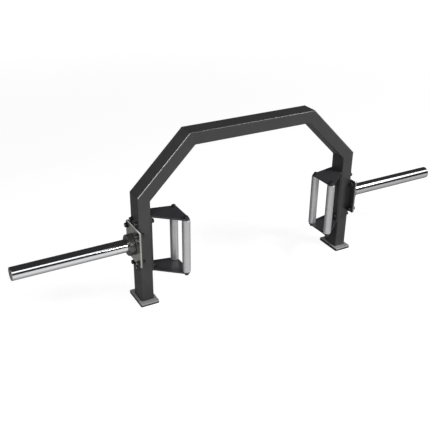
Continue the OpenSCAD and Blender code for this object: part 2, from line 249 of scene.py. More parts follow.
class Solid:
    """A mesh in the making, in millimetres, that ends as one piece of the bar."""

    def __init__(self) -> None:
        """Starts an empty mesh with no face worn or shaded."""
        self.mesh = bmesh.new()
        self.wear = self.mesh.faces.layers.float.new("wear")

    def mark(self, wear: float, chosen: Callable[[Face], bool]) -> None:
        """Marks faces as worn, or darkened as painted shade.

        Args:
            wear: BARE, SHADED or a part of either.
            chosen: Tells whether a face is marked.
        """
        for face in self.mesh.faces:
            if chosen(face):
                face[self.wear] = wear

    def skin(self, rings: Sequence[Ring], loop: bool = False) -> list[list[bmesh.types.BMVert]]:
        """Joins rings of points with faces.

        Args:
            rings: Rings of equal length, in order.
            loop: Whether the last ring joins the first.

        Returns:
            The vertices of each ring.
        """
        rows = [[self.mesh.verts.new(p) for p in ring] for ring in rings]
        for near, far in zip(rows, rows[1:] + (rows[:1] if loop else [])):
            for i in range(len(near)):
                j = (i + 1) % len(near)
                self.mesh.faces.new((near[i], near[j], far[j], far[i]))
        return rows

    def turn(self, profile: Profile | Outline, placing: Matrix, count: int, loop: bool = False) -> None:
        """Turns a profile about an axis.

        Args:
            profile: Points (along the axis, radius), or a function that gives them at an angle.
            placing: Puts the axis, which is the local Z, in its place.
            count: Faces round the axis.
            loop: Whether the profile closes on itself.
        """
        columns = []
        for i in range(count):
            angle = TURN * i / count
            x, y = math.cos(angle), math.sin(angle)
            points = profile(angle) if callable(profile) else profile
            columns.append([placing @ Vector((r * x, r * y, h)) for h, r in points])
        self.skin(list(zip(*columns)), loop)

    def slab(
        self,
        outline: Outline,
        low: float,
        high: float,
        placing: Matrix,
        edges: Point,
        steps: int = 3,
        holes: Sequence[Outline] = (),
        sawn: bool = False,
    ) -> None:
        """Cuts a plate to an outline and eases its edges.

        Args:
            outline: The anticlockwise outline.
            low: The lower face.
            high: The upper face.
            placing: Puts the plate in its place.
            edges: How far the lower and the upper edge are eased.
            steps: Faces across an eased edge; 1 makes it a flat bevel.
            holes: Anticlockwise outlines cut through the plate.
            sawn: Whether the edges show bare metal.
        """
        (below, above), eased = edges, quarter(steps)
        levels = [(low + below * (1 - math.cos(a)), below * (1 - math.sin(a))) for a in eased]
        levels += [(high - above * (1 - math.sin(a)), above * (1 - math.cos(a))) for a in eased]
        rims: list[list[bmesh.types.BMEdge]] = [[], []]
        for path, sense in [(outline, 1)] + [(hole, -1) for hole in holes]:
            rings = [[placing @ Vector((*p, h)) for p in inset(path, sense * d)] for h, d in levels]
            rows = self.skin(rings)
            for rim, row in zip(rims, (rows[0], rows[-1])):
                rim += [self.mesh.edges.get((row[i - 1], row[i])) for i in range(len(row))]
        if sawn:
            self.mesh.normal_update()
            flat, through = 0.3, placing.col[2].to_3d()
            self.mark(BARE, lambda side: abs(side.normal.dot(through)) < flat)
        for rim in rims:
            bmesh.ops.triangle_fill(self.mesh, use_beauty=True, edges=rim)

    def bead(
        self, path: Ring, normal: Vector, radius: float, closed: bool = False, ceiling: float = math.inf
    ) -> None:
        """Lays a rippled weld bead.

        Args:
            path: The line that the torch follows, in one plane.
            normal: Square to that plane.
            radius: The bead's radius.
            closed: Whether the path ends where it starts.
            ceiling: The height that the bead is ground down to.
        """
        step, ripple, ripple_depth, sides = 0.65, 2.6, 0.06, 10
        stops = [*path, path[0]] if closed else list(path)
        lengths = [(b - a).length for a, b in zip(stops, stops[1:])]
        total = sum(lengths)
        count = max(4, round(total / step))
        spots, done, leg = [], 0.0, 0
        for i in range(count if closed else count + 1):
            at = total * i / count
            while leg < len(lengths) - 1 and at > done + lengths[leg]:
                done += lengths[leg]
                leg += 1
            spots.append(stops[leg].lerp(stops[leg + 1], min(1.0, (at - done) / lengths[leg])))
        ripples = max(1, round(total / ripple))
        rings, last = [], len(spots) - 1
        for i, spot in enumerate(spots):
            back = spots[i - 1] if closed or i else spot
            onward = spots[(i + 1) % len(spots)] if closed or i < last else spot
            side = (onward - back).normalized().cross(normal)
            swell = radius * (1 - ripple_depth + ripple_depth * math.cos(TURN * ripples * i / count))
            if not closed:
                swell *= math.sqrt(max(0.0, 1 - max(0.0, 1 - min(i, last - i) * step / radius) ** 2))
            turns = [TURN * k / sides for k in range(sides)]
            rings.append([spot + (side * math.cos(a) + normal * math.sin(a)) * swell for a in turns])
        for point in (p for ring in rings for p in ring):
            point.z = min(point.z, ceiling)
        self.skin(rings, loop=closed)

    def shape(self, name: str, crease: float = 32.0) -> bpy.types.Mesh:
        """Closes the mesh and turns it into metres.

        Args:
            name: The mesh's name.
            crease: Edges sharper than this many degrees stay sharp.

        Returns:
            The finished mesh data.
        """
        touching = 0.002
        bmesh.ops.remove_doubles(self.mesh, verts=self.mesh.verts, dist=touching)
        bmesh.ops.recalc_face_normals(self.mesh, faces=self.mesh.faces)
        self.mesh.transform(Matrix.Scale(MM, 4))
        mesh = bpy.data.meshes.new(name)
        self.mesh.to_mesh(mesh)
        self.mesh.free()
        mesh.shade_smooth()
        mesh.set_sharp_from_angle(angle=math.radians(crease))
        return mesh

    def piece(
        self, node: str, slot: Slot, finish: "Finish", side: Side = Side.RIGHT, body: str = "root"
    ) -> None:
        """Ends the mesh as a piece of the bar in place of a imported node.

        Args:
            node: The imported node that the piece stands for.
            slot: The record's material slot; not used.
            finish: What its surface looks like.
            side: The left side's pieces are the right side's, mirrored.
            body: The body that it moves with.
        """
        if side is Side.LEFT:
            self.mesh.transform(Matrix.Diagonal((-1, 1, 1, 1)))
        fit(self.shape(f"{node}_shape"), node, finish, body)


def fit(
    mesh: bpy.types.Mesh,
    node: str,
    finish: "Finish",
    body: str = "root",
    place: Sequence[float] = (0, 0, 0),
) -> None:
    """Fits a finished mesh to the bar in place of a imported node.

    Args:
        mesh: The mesh, in metres.
        node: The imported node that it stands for.
        finish: What its surface looks like.
        body: The body that it moves with.
        place: Where the mesh's origin goes, in millimetres.
    """
    made = bpy.data.objects.new(f"{node}_finished", mesh)
    bpy.context.scene.collection.objects.link(made)
    made.location = Vector(place) * MM
    if not mesh.materials:
        mesh.materials.append(finish.material())
    shading = made.modifiers.new("even_shading", "WEIGHTED_NORMAL")
    shading.keep_sharp = True
    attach(made, body)
    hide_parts(node)
    LOG.info("%s: %d faces, %s", made.name, len(mesh.polygons), finish.name)


def dress(node: str, finish: "Finish") -> None:
    """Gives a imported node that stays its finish.

    Args:
        node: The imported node.
        finish: What its surface looks like.
    """
    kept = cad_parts[node]
    if not kept.material_slots:
        kept.data.materials.append(finish.material())
    for place in kept.material_slots:
        place.material = finish.material()
    LOG.info("%s: kept, %s", node, finish.name)


# Materials


class Graph:
    """The nodes of a material or of the room, with short ways to add to them."""

    def __init__(self, tree: bpy.types.NodeTree) -> None:
        """Takes the tree that the nodes are in."""
        self.nodes = tree.nodes
        self.links = tree.links

    def feed(self, node: bpy.types.Node, inputs: dict[str | int, Value]) -> None:
        """Sets or links a node's inputs.

        Args:
            node: The node.
            inputs: A number, a vector, a colour or another node's output for each input.
        """
        for name, value in inputs.items():
            socket = node.inputs[name]
            if isinstance(value, Socket):
                self.links.new(value, socket)
            else:
                socket.default_value = (*value, 1) if socket.type == "RGBA" else value

    def add(self, kind: str, inputs: dict[str | int, Value]) -> bpy.types.Node:
        """Adds a node.

        Args:
            kind: Its type, after the word ShaderNode.
            inputs: What its inputs are set or linked to.

        Returns:
            The node.
        """
        node = self.nodes.new(f"ShaderNode{kind}")
        self.feed(node, inputs)
        return node

    def reckon(self, operation: str, *values: Value) -> Socket:
        """Adds a sum on numbers.

        Args:
            operation: The sum's name.
            values: What it is made of, as numbers or sockets.

        Returns:
            Its result.
        """
        node = self.add("Math", dict(enumerate(values)))
        node.operation = operation
        return node.outputs["Value"]

    def measure(self, operation: str, *values: Value) -> bpy.types.NodeOutputs:
        """Adds a sum on vectors.

        Args:
            operation: The sum's name.
            values: What it is made of, as vectors or sockets.

        Returns:
            Its results: Vector, or Value where the sum gives a number.
        """
        node = self.add("VectorMath", dict(enumerate(values)))
        node.operation = operation
        return node.outputs

    def span(self, value: Socket, source: Point, target: Point, smooth: bool = False) -> Socket:
        """Maps a value from one range to another.

        Args:
            value: The value to map.
            source: The range that it comes in.
            target: The range that it leaves in.
            smooth: Whether it eases into both ends.

        Returns:
            The mapped value, held inside the target range.
        """
        (low, high), (first, last) = source, target
        ranges = {"From Min": low, "From Max": high, "To Min": first, "To Max": last}
        node = self.add("MapRange", {"Value": value, **ranges})
        if smooth:
            node.interpolation_type = "SMOOTHSTEP"
        return node.outputs["Result"]


class Recipe(Graph):
    """A node material in the making, with its shader ready."""

    def __init__(self, name: str) -> None:
        """Starts the material.

        Args:
            name: The material's name.
        """
        self.material = bpy.data.materials.new(name)
        self.material.use_nodes = True
        super().__init__(self.material.node_tree)
        self.shader = self.nodes["Principled BSDF"]
        self.place = self.nodes.new("ShaderNodeTexCoord").outputs["Object"]
        self.relief: Socket | None = None

    def set(self, inputs: dict[str, Value]) -> None:
        """Sets or links the shader's inputs."""
        self.feed(self.shader, inputs)

    def noise(self, scale: float, stretch: Sequence[float] = (1, 1, 1), detail: float = 3) -> Socket:
        """Adds a grain.

        Args:
            scale: Grains in a metre.
            stretch: How much faster the grain changes along X, Y and Z.
            detail: How many finer grains lie in it.

        Returns:
            The grain, from 0 to 1.
        """
        mapping = self.add("Mapping", {"Vector": self.place, "Scale": stretch})
        noise = {"Vector": mapping.outputs["Vector"], "Scale": scale, "Detail": detail}
        return self.add("TexNoise", noise).outputs["Fac"]

    def tint(self, share: Socket, first: Colour | Socket, second: Colour) -> Socket:
        """Blends two colours.

        Args:
            share: How much of the second colour is in the blend.
            first: The first colour.
            second: The second colour.

        Returns:
            The blend.
        """
        # The node names its sockets alike for numbers, vectors and colours
        factor, one, other, result = 0, 6, 7, 2
        blend = self.add("Mix", {factor: share, one: first, other: second})
        blend.data_type = "RGBA"
        return blend.outputs[result]

    def wear(self) -> Socket:
        """Reads the worn places and the painted shade that Solid marked on the faces.

        Returns:
            1 where metal is bare, -1 where painted shade darkens it, and 0 elsewhere.
        """
        mark = self.nodes.new("ShaderNodeAttribute")
        mark.attribute_type = "GEOMETRY"
        mark.attribute_name = "wear"
        return mark.outputs["Fac"]

    def raise_by(self, height: Socket, millimetres: float) -> None:
        """Adds relief to the surface.

        Args:
            height: The relief, from 0 to 1.
            millimetres: How deep it is.
        """
        under = {"Normal": self.relief} if self.relief else {}
        bump = self.add("Bump", {"Strength": 1.0, "Distance": millimetres * MM, "Height": height, **under})
        self.relief = bump.outputs["Normal"]
        self.set({"Normal": self.relief})


def shade(colour: Colour, times: float) -> Colour:
    """Returns a colour made lighter or darker."""
    return tuple(min(1.0, part * times) for part in colour)


@dataclass(frozen=True)
class Finish:
    """A surface finish.

    Attributes:
        name: The finish's name.
        colour: Its mean colour, linear.
        gloss: The least and greatest roughness.
        metallic: How metallic it is.
        contrast: How much its colour varies.
    """

    name: str
    colour: Colour
    gloss: Point
    metallic: float = 0.0
    contrast: float = 0.1

    def material(self) -> bpy.types.Material:
        """Makes the finish's material the first time it is asked for.

        Returns:
            The material.
        """
        made = bpy.data.materials.get(self.name)
        if made is None:
            recipe = Recipe(self.name)
            recipe.set({"Metallic": self.metallic})
            self.work(recipe)
            made = recipe.material
        return made

    def work(self, recipe: Recipe) -> None:
        """Adds the finish's colour and fine detail.

        Args:
            recipe: The material in the making.
        """
        raise NotImplementedError

    def clouds(self, recipe: Recipe, grain: Socket) -> Socket:
        """Returns the colour, which a grain makes darker and lighter."""
        dark, light = shade(self.colour, 1 - self.contrast), shade(self.colour, 1 + self.contrast)
        return recipe.tint(recipe.span(grain, GRAIN, SHARE), dark, light)

    def vary(self, recipe: Recipe, colour: Socket, gloss: Socket) -> None:
        """Lets the colour and the roughness follow two grains.

        Args:
            recipe: The material in the making.
            colour: The grain of the colour.
            gloss: The grain of the roughness.
        """
        roughness = recipe.span(gloss, GRAIN, self.gloss)
        recipe.set({"Base Color": self.clouds(recipe, colour), "Roughness": roughness})


@dataclass(frozen=True)
class PowderCoat(Finish):
    """Baked powder paint with a fine orange peel.

    Attributes:
        peel: How deep the orange peel is, in millimetres.
        speckle: How deep the speckle on it is, in millimetres.
        polish: How rough it is where hands have polished it.
        polish_ior: How strongly it mirrors there.
    """

    peel: float = 0.02
    speckle: float = 0.0036
    polish: float = 0.3
    polish_ior: float = 2.8

    def work(self, recipe: Recipe) -> None:
        """Adds the orange peel, a fine speckle, a faint bloom of dust and the polished edges.

        Args:
            recipe: The material in the making.
        """
        self.vary(recipe, recipe.noise(14, detail=5), recipe.noise(35, detail=4))
        recipe.raise_by(recipe.noise(520, detail=1), self.peel)
        recipe.raise_by(recipe.noise(2600, detail=2), self.speckle)
        recipe.set({"IOR": 1.5, "Coat Weight": recipe.span(recipe.wear(), SHARE, SHARE)})
        recipe.set({"Coat IOR": self.polish_ior, "Coat Roughness": self.polish})


@dataclass(frozen=True)
class TurnedMetal(Finish):
    """Metal that came off a lathe, with marks round its axis, which lies along X.

    Attributes:
        marks: Marks in a metre along the axis.
        depth: How deep they are, in millimetres.
    """

    marks: float = 3000
    depth: float = 0.002

    def work(self, recipe: Recipe) -> None:
        """Adds the lathe's marks and the handling marks over them.

        Args:
            recipe: The material in the making.
        """
        rings = recipe.noise(self.marks, (1, 0.004, 0.004), 2)
        self.vary(recipe, rings, recipe.noise(26, (0.4, 1, 1), 5))
        recipe.raise_by(rings, self.depth)


@dataclass(frozen=True)
class PlatedPlate(Finish):
    """Plate steel with a grained, plated or blasted face.

    Attributes:
        grain: Grains in a metre.
        depth: How deep the grain is, in millimetres.
        bare: The colour of its sawn edges or worn sockets.
        bare_metallic: How metallic they are.
        shade_colour: The near-black colour of its painted shade.
    """

    grain: float = 900
    depth: float = 0.006
    bare: Colour = (0.4, 0.4, 0.4)
    bare_metallic: float = 0.5
    shade_colour: Colour = (0.015, 0.015, 0.015)

    def work(self, recipe: Recipe) -> None:
        """Adds clouds in the plating, the grain under it, the bare places and the painted shade.

        Args:
            recipe: The material in the making.
        """
        plated = self.clouds(recipe, recipe.noise(45, detail=6))
        wear = recipe.wear()
        # Painted shade: faces marked below 0 darken towards a near black
        shaded = recipe.tint(recipe.span(wear, (SHADED, 0.0), (1.0, 0.0)), plated, self.shade_colour)
        recipe.set({
            "Base Color": recipe.tint(recipe.span(wear, SHARE, SHARE), shaded, self.bare),
            "Metallic": recipe.span(wear, SHARE, (self.metallic, self.bare_metallic)),
            "Roughness": recipe.span(recipe.noise(110, detail=4), GRAIN, self.gloss),
        })
        recipe.raise_by(recipe.noise(self.grain, detail=2), self.depth)


@dataclass(frozen=True)
class KnurledMetal(Finish):
    """Knurled bar with painted shade at the bottom of the cuts. The bar's axis is the local Z.

    Attributes:
        crest: The radius over the knurl, in millimetres.
        root: The radius at the bottom of the cuts, in millimetres.
        cut_shade: How dark the painted shade at the bottom of the cuts is.
        scuffs: How deep the fine scratches are, in millimetres.
    """

    crest: float = 16.0
    root: float = 15.45
    cut_shade: float = 0.45
    scuffs: float = 0.012

    def work(self, recipe: Recipe) -> None:
        """Paints shade into the cuts by their depth and breaks up the crests.

        Args:
            recipe: The material in the making.
        """
        flat = recipe.measure("MULTIPLY", recipe.place, (1 / MM, 1 / MM, 0))["Vector"]
        reach = recipe.measure("LENGTH", flat)["Value"]
        height = recipe.span(reach, (self.root, self.crest), SHARE)
        clean = recipe.span(recipe.noise(70, detail=5), GRAIN, (1 - self.contrast, 1.0))
        # Painted shade: the colour darkens with the depth of each cut
        share = recipe.reckon("MULTIPLY", height, clean)
        smooth, rough = self.gloss
        recipe.set({
            "Base Color": recipe.tint(share, shade(self.colour, self.cut_shade), self.colour),
            "Roughness": recipe.span(height, SHARE, (rough, smooth)),
        })
        recipe.raise_by(recipe.noise(2400, detail=2), self.scuffs)


@dataclass(frozen=True)
class MouldedRubber(Finish):
    """Black moulded rubber with a dull, slightly pebbled skin.

    Attributes:
        pebbles: How deep the pebbles are, in millimetres.
        sheen: How little it mirrors.
    """

    pebbles: float = 0.03
    sheen: float = 0.12

    def work(self, recipe: Recipe) -> None:
        """Adds the pebbled skin and a trace of floor dust.

        Args:
            recipe: The material in the making.
        """
        self.vary(recipe, recipe.noise(50, detail=5), recipe.noise(90, detail=3))
        recipe.raise_by(recipe.noise(1500, detail=2), self.pebbles)
        recipe.set({"Specular IOR Level": self.sheen})


FRAME_COAT = PowderCoat("frame_powder_coat", (0.034, 0.034, 0.035), (0.36, 0.44), contrast=0.07)
HANDLE_COAT = PowderCoat("handle_powder_coat", (0.03, 0.03, 0.034), (0.36, 0.44), contrast=0.08)
FOOT_PLATING = PlatedPlate(
    "foot_zinc", (0.36, 0.36, 0.365), (0.42, 0.55), 0.4, 0.08,
    bare=(0.38, 0.38, 0.385), bare_metallic=0.5,
)
PAD_RUBBER = MouldedRubber("pad_rubber", (0.006, 0.006, 0.0065), (0.8, 0.9), contrast=0.2)
FLANGE_PLATING = PlatedPlate(
    "flange_plating", (0.58, 0.585, 0.54), (0.26, 0.36), 0.95, 0.08,
    bare=(0.85, 0.85, 0.83), bare_metallic=0.1,
)
SLEEVE_CHROME = TurnedMetal("sleeve_chrome", (0.88, 0.88, 0.89), (0.075, 0.09), 1.0, 0.02, 2600, 0.0008)
COLLAR_BLACKENED = TurnedMetal("collar_blackened", (0.1, 0.1, 0.098), (0.3, 0.38), 0.6, 0.12, 2200, 0.003)
CAP_TURNED = TurnedMetal("cap_turned", (0.4, 0.4, 0.41), (0.25, 0.35), 1.0, 0.06, 2200, 0.003)
GRIP_KNURL = KnurledMetal("grip_knurl", (0.85, 0.85, 0.86), (0.38, 0.55), 0.85, 0.12)
BOLT_OXIDE = PlatedPlate(
    "bolt_black_oxide", (0.012, 0.012, 0.013), (0.32, 0.45), 0.1, 0.15, 1800, 0.004, (0.5, 0.5, 0.5), 0.4
)
SPINDLE_STEEL = TurnedMetal("spindle_steel", (0.42, 0.42, 0.43), (0.22, 0.3), 1.0, 0.05)
FASTENER_ZINC = PlatedPlate("fastener_zinc", (0.42, 0.42, 0.43), (0.3, 0.42), 1.0, 0.08, 1500)
BUSH_BRONZE = TurnedMetal("bush_bronze", (0.45, 0.28, 0.12), (0.35, 0.45), 1.0, 0.08, 1600, 0.004)


# Fasteners


@dataclass(frozen=True)
class SocketBolt:
    """A socket-head bolt with its washer, nut and threaded end.

    Attributes:
        size: The thread's diameter.
        head: The head's diameter.
        height: The head's height.
        socket: The socket across flats.
        washer: The washer's diameter, 0 where there is none.
        nut_flats: The nut across flats.
        nut_height: The nut's height.
        pitch: The thread's pitch.
        washer_thickness: The washer's thickness.
        thread_shown: The length of thread that is cut, from its end.
        worn: Whether the key has worn the socket bright.
    """

    size: float
    head: float
    height: float
    socket: float
    washer: float
    nut_flats: float = 0.0
    nut_height: float = 0.0
    pitch: float = 1.5
    washer_thickness: float = 2.0
    thread_shown: float = 9.0
    worn: bool = True

    def head_profile(self, seat: float, tail: float) -> Profile:
        """Gives the bolt's profile.

        Args:
            seat: Where the head sits.
            tail: Where the thread ends.

        Returns:
            The profile at an angle, from the socket's floor to the end of the thread.
        """
        # The head's rounded rim and lower bevel, and the socket's lead-in, cone and share of the height
        ease, under, lead_in, cone, socket_deep = 1.0, 0.25, 0.4, 0.8, 0.6
        # A row of the thread, its tapered point, its share of the pitch, and its play
        row, point, thread_deep, play = 0.22, 1.1, 0.6, 0.05
        top, radius = seat + self.height, self.head / 2
        floor = top - socket_deep * self.height
        root, crest = self.size / 2 - thread_deep * self.pitch, self.size / 2 - play
        rows = max(2, round(min(self.thread_shown, seat - tail) / row))

        def profile(angle: float) -> Outline:
            """Gives the profile on one side of the axis.

            Args:
                angle: The direction from the axis.

            Returns:
                Its points.
            """
            wall = hex_radius(self.socket, angle, 1.0)
            points = [(floor - cone, 0.0), (floor, wall), (top - lead_in, wall), (top, wall + lead_in)]
            for a in quarter(5):
                points.append((top - ease * (1 - math.cos(a)), radius - ease * (1 - math.sin(a))))
            points += [(seat + under, radius), (seat, radius - under), (seat, crest)]
            for k in range(rows + 1):
                h = tail + row * (rows - k)
                tooth = abs(((h / self.pitch + angle / TURN) % 1.0) * 2 - 1)
                taper = min(1.0, (h - tail) / point)
                points.append((h, root + (crest - root) * tooth * taper))
            return points + [(tail, 0.0)]

        return profile

    def nut_profile(self, low: float, high: float) -> Profile:
        """Gives a nut's profile.

        Args:
            low: The nut's inner face.
            high: The nut's outer face.

        Returns:
            The closed profile at an angle.
        """
        lead_in, slope = 0.7, math.radians(30)
        bore, face = self.size / 2 - 0.2, 0.475 * self.nut_flats

        def profile(angle: float) -> Outline:
            """Gives the profile on one side of the axis.

            Args:
                angle: The direction from the axis.

            Returns:
                Its points.
            """
            corner = hex_radius(self.nut_flats, angle)
            drop = (corner - face) * math.tan(slope)
            top = [(high - lead_in, bore), (high, bore + lead_in), (high, face), (high - drop, corner)]
            return top + [(low + drop, corner), (low, face), (low, bore + lead_in), (low + lead_in, bore)]

        return profile

    def washer_profile(self, low: float) -> Outline:
        """Gives a flat washer's profile.

        Args:
            low: The washer's inner face.

        Returns:
            The closed profile.
        """
        high, bore, rim = low + self.washer_thickness, self.size / 2 + 0.25, self.washer / 2
        corners = [(low, bore), (high, bore), (high, rim), (low, rim)]
        return rounded(corners, [0, 0.2, 0.35, 0.2], 3)

    def drive(self, solid: Solid, placing: Matrix, seat: float, tail: float) -> None:
        """Adds the bolt and its washer to a mesh.

        Args:
            solid: The mesh.
            placing: Puts the bolt's axis in its place, with its head at the far end.
            seat: What the washer or the head sits on.
            tail: Where the thread ends.
        """
        if self.washer:
            solid.turn(self.washer_profile(seat), placing, 64, loop=True)
            seat += self.washer_thickness
        solid.turn(self.head_profile(seat, tail), placing, 72)
        if self.worn:
            self.polish_socket(solid, placing, seat)

    def polish_socket(self, solid: Solid, placing: Matrix, seat: float) -> None:
        """Marks the socket, which the key has worn bright.

        Args:
            solid: The mesh that holds the bolt.
            placing: The bolt's placing.
            seat: What the head sits on.
        """
        # The hexagon's corners are at 0.58 of its flats, and its lead-in is a little further out
        back, reach = placing.inverted(), 0.62 * self.socket

        def inside(face: Face) -> bool:
            """Tells whether a face is in the socket or at its edge."""
            middle = back @ face.calc_center_median()
            return middle.z > seat and math.hypot(middle.x, middle.y) < reach

        solid.mark(BARE, inside)

    def tighten(self, solid: Solid, placing: Matrix, seat: float) -> None:
        """Adds the nut and its washer to a mesh, on the bolt's near side.

        Args:
            solid: The mesh.
            placing: The bolt's placing.
            seat: What the washer presses on.
        """
        high = seat - self.washer_thickness
        solid.turn(self.washer_profile(high), placing, 64, loop=True)
        solid.turn(self.nut_profile(high - self.nut_height, high), placing, 72, loop=True)

    def bolt_up(
        self, bolts: Solid, nuts: Solid, spread: Point, seat: float, back: float, overhang: float
    ) -> None:
        """Adds the four bolts of a plate, with their nuts.

        Args:
            bolts: The mesh that takes the bolts.
            nuts: The mesh that takes the nuts.
            spread: How far the bolts are from the sleeve's axis, along Y and Z.
            seat: What the heads' washers sit on.
            back: What the nuts' washers press on.
            overhang: How far the threads stand out of the nuts.
        """
        tail = back - self.washer_thickness - self.nut_height - overhang
        for y in (-spread[0], spread[0]):
            for z in (-spread[1], spread[1]):
                place = across(AXIS_Y + y, AXIS_Z + z)
                self.drive(bolts, place, seat, tail)
                self.tighten(nuts, place, back)


FLANGE_BOLT = SocketBolt(12, 18, 8, 8, 24, 19, 10, 1.75)
HANDLE_BOLT = SocketBolt(10, 16.5, 8.5, 6, 20, 17, 8, 1.5)
GRIP_SCREW = SocketBolt(10, 16.5, 8.5, 6, 0, worn=False)


# Sub-assemblies


@dataclass
class WeldedFrame:
    """The five mitred tubes of the open frame and the beads that join them.

    Attributes:
        bend_x: Where a diagonal meets the top tube.
        low_bend: The height of the lower bends.
        top: The height of the top tube's middle.
        foot_top: What the legs stand on.
        wall: The tube's wall.
        corner: The tube's corner radius.
        foot_weld: The radius of the bead round a leg's foot.
        mitre_weld: The radius of the bead in a mitre.
        mitre_sunk: How far inside the tube's face that bead's middle lies.
        dressed: How far the bead is ground below the top tube's upper face.
        diagonal_polish: How far hands have polished the diagonals' corner.
        top_polish: How far they have polished the top tube's.
    """

    bend_x: float = 262
    low_bend: float = 438
    top: float = 638
    foot_top: float = 12
    wall: float = 3
    corner: float = 4
    foot_weld: float = 2.2
    mitre_weld: float = 1.9
    mitre_sunk: float = 1.35
    dressed: float = 0.03
    diagonal_polish: float = 0.6
    top_polish: float = 0.05

    def ring(self, at: Point, along: Vector, cut: Vector, trim: float) -> list[Vector]:
        """Gives the tube's section where it is cut.

        Args:
            at: The middle of the cut, as X and Z.
            along: The tube's direction in X and Z.
            cut: Square to the cut, in X and Z.
            trim: How far inside the tube's face the section lies.

        Returns:
            The section's points.
        """
        inward = Vector((-along.y, along.x))
        least = 0.5
        corner = max(least, self.corner - trim)
        points = []
        for u, v in rectangle(LEG_WIDTH - 2 * trim, LEG_DEPTH - 2 * trim, corner):
            flat = Vector(at) + inward * u - along * (u * inward.dot(cut) / along.dot(cut))
            points.append(Vector((flat.x, AXIS_Y + v, flat.y)))
        return points

    def tube(self, start: Point, end: Point, start_cut: Vector, end_cut: Vector) -> Solid:
        """Cuts one hollow tube between two mitres.

        Args:
            start: The middle of the first cut, as X and Z.
            end: The middle of the last cut.
            start_cut: Square to the first cut.
            end_cut: Square to the last cut.

        Returns:
            The tube's mesh.
        """
        along = (Vector(end) - Vector(start)).normalized()
        rings = [self.ring(start, along, start_cut, 0), self.ring(end, along, end_cut, 0)]
        rings += [self.ring(end, along, end_cut, self.wall), self.ring(start, along, start_cut, self.wall)]
        solid = Solid()
        solid.skin(rings, loop=True)
        return solid

    def polish_edge(self, tube: Solid, at: Point, along: Vector, amount: float) -> None:
        """Polishes a tube's outer front corner, by which the bar is carried.

        Args:
            tube: The tube's mesh.
            at: A point on the tube's middle line, as X and Z.
            along: The tube's direction in X and Z.
            amount: How far it is polished, from 0 to 1.
        """
        front, outer = AXIS_Y - LEG_DEPTH / 2 + self.corner, LEG_WIDTH / 2 - self.corner

        def on_corner(face: Face) -> bool:
            """Tells whether a face is on that corner."""
            x, y, z = face.calc_center_median()
            return (x - at[0]) * along.y - (z - at[1]) * along.x > outer and y < front

        tube.mark(amount, on_corner)

    def weld_mitre(self, solid: Solid, at: Point, along: Vector, cut: Vector) -> None:
        """Lays the dressed weld round one mitre.

        Args:
            solid: The mesh that takes the bead.
            at: The middle of the mitre, as X and Z.
            along: The direction of a tube that ends there.
            cut: Square to the mitre.
        """
        path, normal = self.ring(at, along, cut, self.mitre_sunk), Vector((cut.x, 0, cut.y))
        ceiling = self.top + LEG_WIDTH / 2 - self.dressed
        solid.bead(path, normal, self.mitre_weld, closed=True, ceiling=ceiling)

    def build(self) -> None:
        """Builds the tubes, each with the welds at its ends."""
        up, lean, level = Vector((0, 1)), Vector((-1, 1)).normalized(), Vector((-1, 0))
        low_cut, high_cut = (up + lean).normalized(), (lean + level).normalized()
        low, high = (LEG_X, self.low_bend), (self.bend_x, self.top)
        # How far a foot bead's middle is above the plate and outside the tube
        lift, proud = 0.4, 0.2
        for side in Side:
            leg = self.tube((LEG_X, self.foot_top), low, up, low_cut)
            foot = self.ring((LEG_X, self.foot_top + lift), up, up, -proud)
            leg.bead(foot, Vector((0, 0, 1)), self.foot_weld, closed=True)
            leg.piece(side.node("leg"), Slot.FRAME, FRAME_COAT, side)
            diagonal = self.tube(low, high, low_cut, high_cut)
            self.polish_edge(diagonal, low, lean, self.diagonal_polish)
            self.weld_mitre(diagonal, low, lean, low_cut)
            diagonal.piece(side.node("diagonal"), Slot.FRAME, FRAME_COAT, side)
        far_cut = Vector((high_cut.x, -high_cut.y))
        top_tube = self.tube(high, (-self.bend_x, self.top), high_cut, far_cut)
        self.polish_edge(top_tube, high, level, self.top_polish)
        self.weld_mitre(top_tube, high, level, high_cut)
        self.weld_mitre(top_tube, (-self.bend_x, self.top), level, far_cut)
        top_tube.piece("top_tube", Slot.FRAME, FRAME_COAT)


@dataclass
class EndPart:
    """What each end of the bar has, built for the right end and mirrored for the left.

    Attributes:
        side: The end of the bar.
    """

    side: Side

    def add(self, solid: Solid, stem: str, slot: Slot, finish: Finish, body: str = "root") -> None:
        """Ends a mesh as one of this end's pieces.

        Args:
            solid: The mesh, built for the right end.
            stem: The piece's name without its side.
            slot: The record's material slot.
            finish: What its surface looks like.
            body: The body that it moves with.
        """
        solid.piece(self.side.node(stem), slot, finish, self.side, body)

    def keep(self, finish: Finish, *stems: str) -> None:
        """Gives this end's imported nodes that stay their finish."""
        for stem in stems:
            dress(self.side.node(stem), finish)


@dataclass
class Foot(EndPart):
    """A leg's foot plate and the rubber pad screwed under it.

    Attributes:
        width: Across the bar.
        length: From front to back.
        corner: The corner radius in plan.
        pad: The pad's thickness.
        plate: The plate's thickness.
        screw_y: How far the screws are from the middle.
        recess: The diameter of a screw's recess.
        clearance: How much less the visible recess is.
    """

    width: float = 75
    length: float = 120
    corner: float = 5
    pad: float = 6
    plate: float = 6
    screw_y: float = 49
    recess: float = 12
    clearance: float = 0.01

    def build(self) -> None:
        """Builds the plate and the pad and finishes the screws."""
        plan, place = rectangle(self.width, self.length, self.corner), upright(LEG_X, AXIS_Y)
        plate = Solid()
        plate.slab(plan, self.pad, self.pad + self.plate, place, (1.4, 1.2), 4, sawn=True)
        # Painted shade, near black, on the plate's ends towards the sleeves and the handles, and on what
        # faces the floor
        under = -0.25
        plate.mark(SHADED, lambda face: abs(face.normal.x) > SQUARELY or face.normal.z < under)
        self.add(plate, "foot_plate", Slot.FOOT, FOOT_PLATING)
        pad, radius = Solid(), self.recess / 2 - self.clearance
        recesses = [circle(0, y, radius, 40) for y in (-self.screw_y, self.screw_y)]
        pad.slab(plan, 0, self.pad, place, (0.8, 0.8), 3, recesses)
        self.add(pad, "foot_pad", Slot.PAD, PAD_RUBBER)
        self.keep(FASTENER_ZINC, "foot_screws")


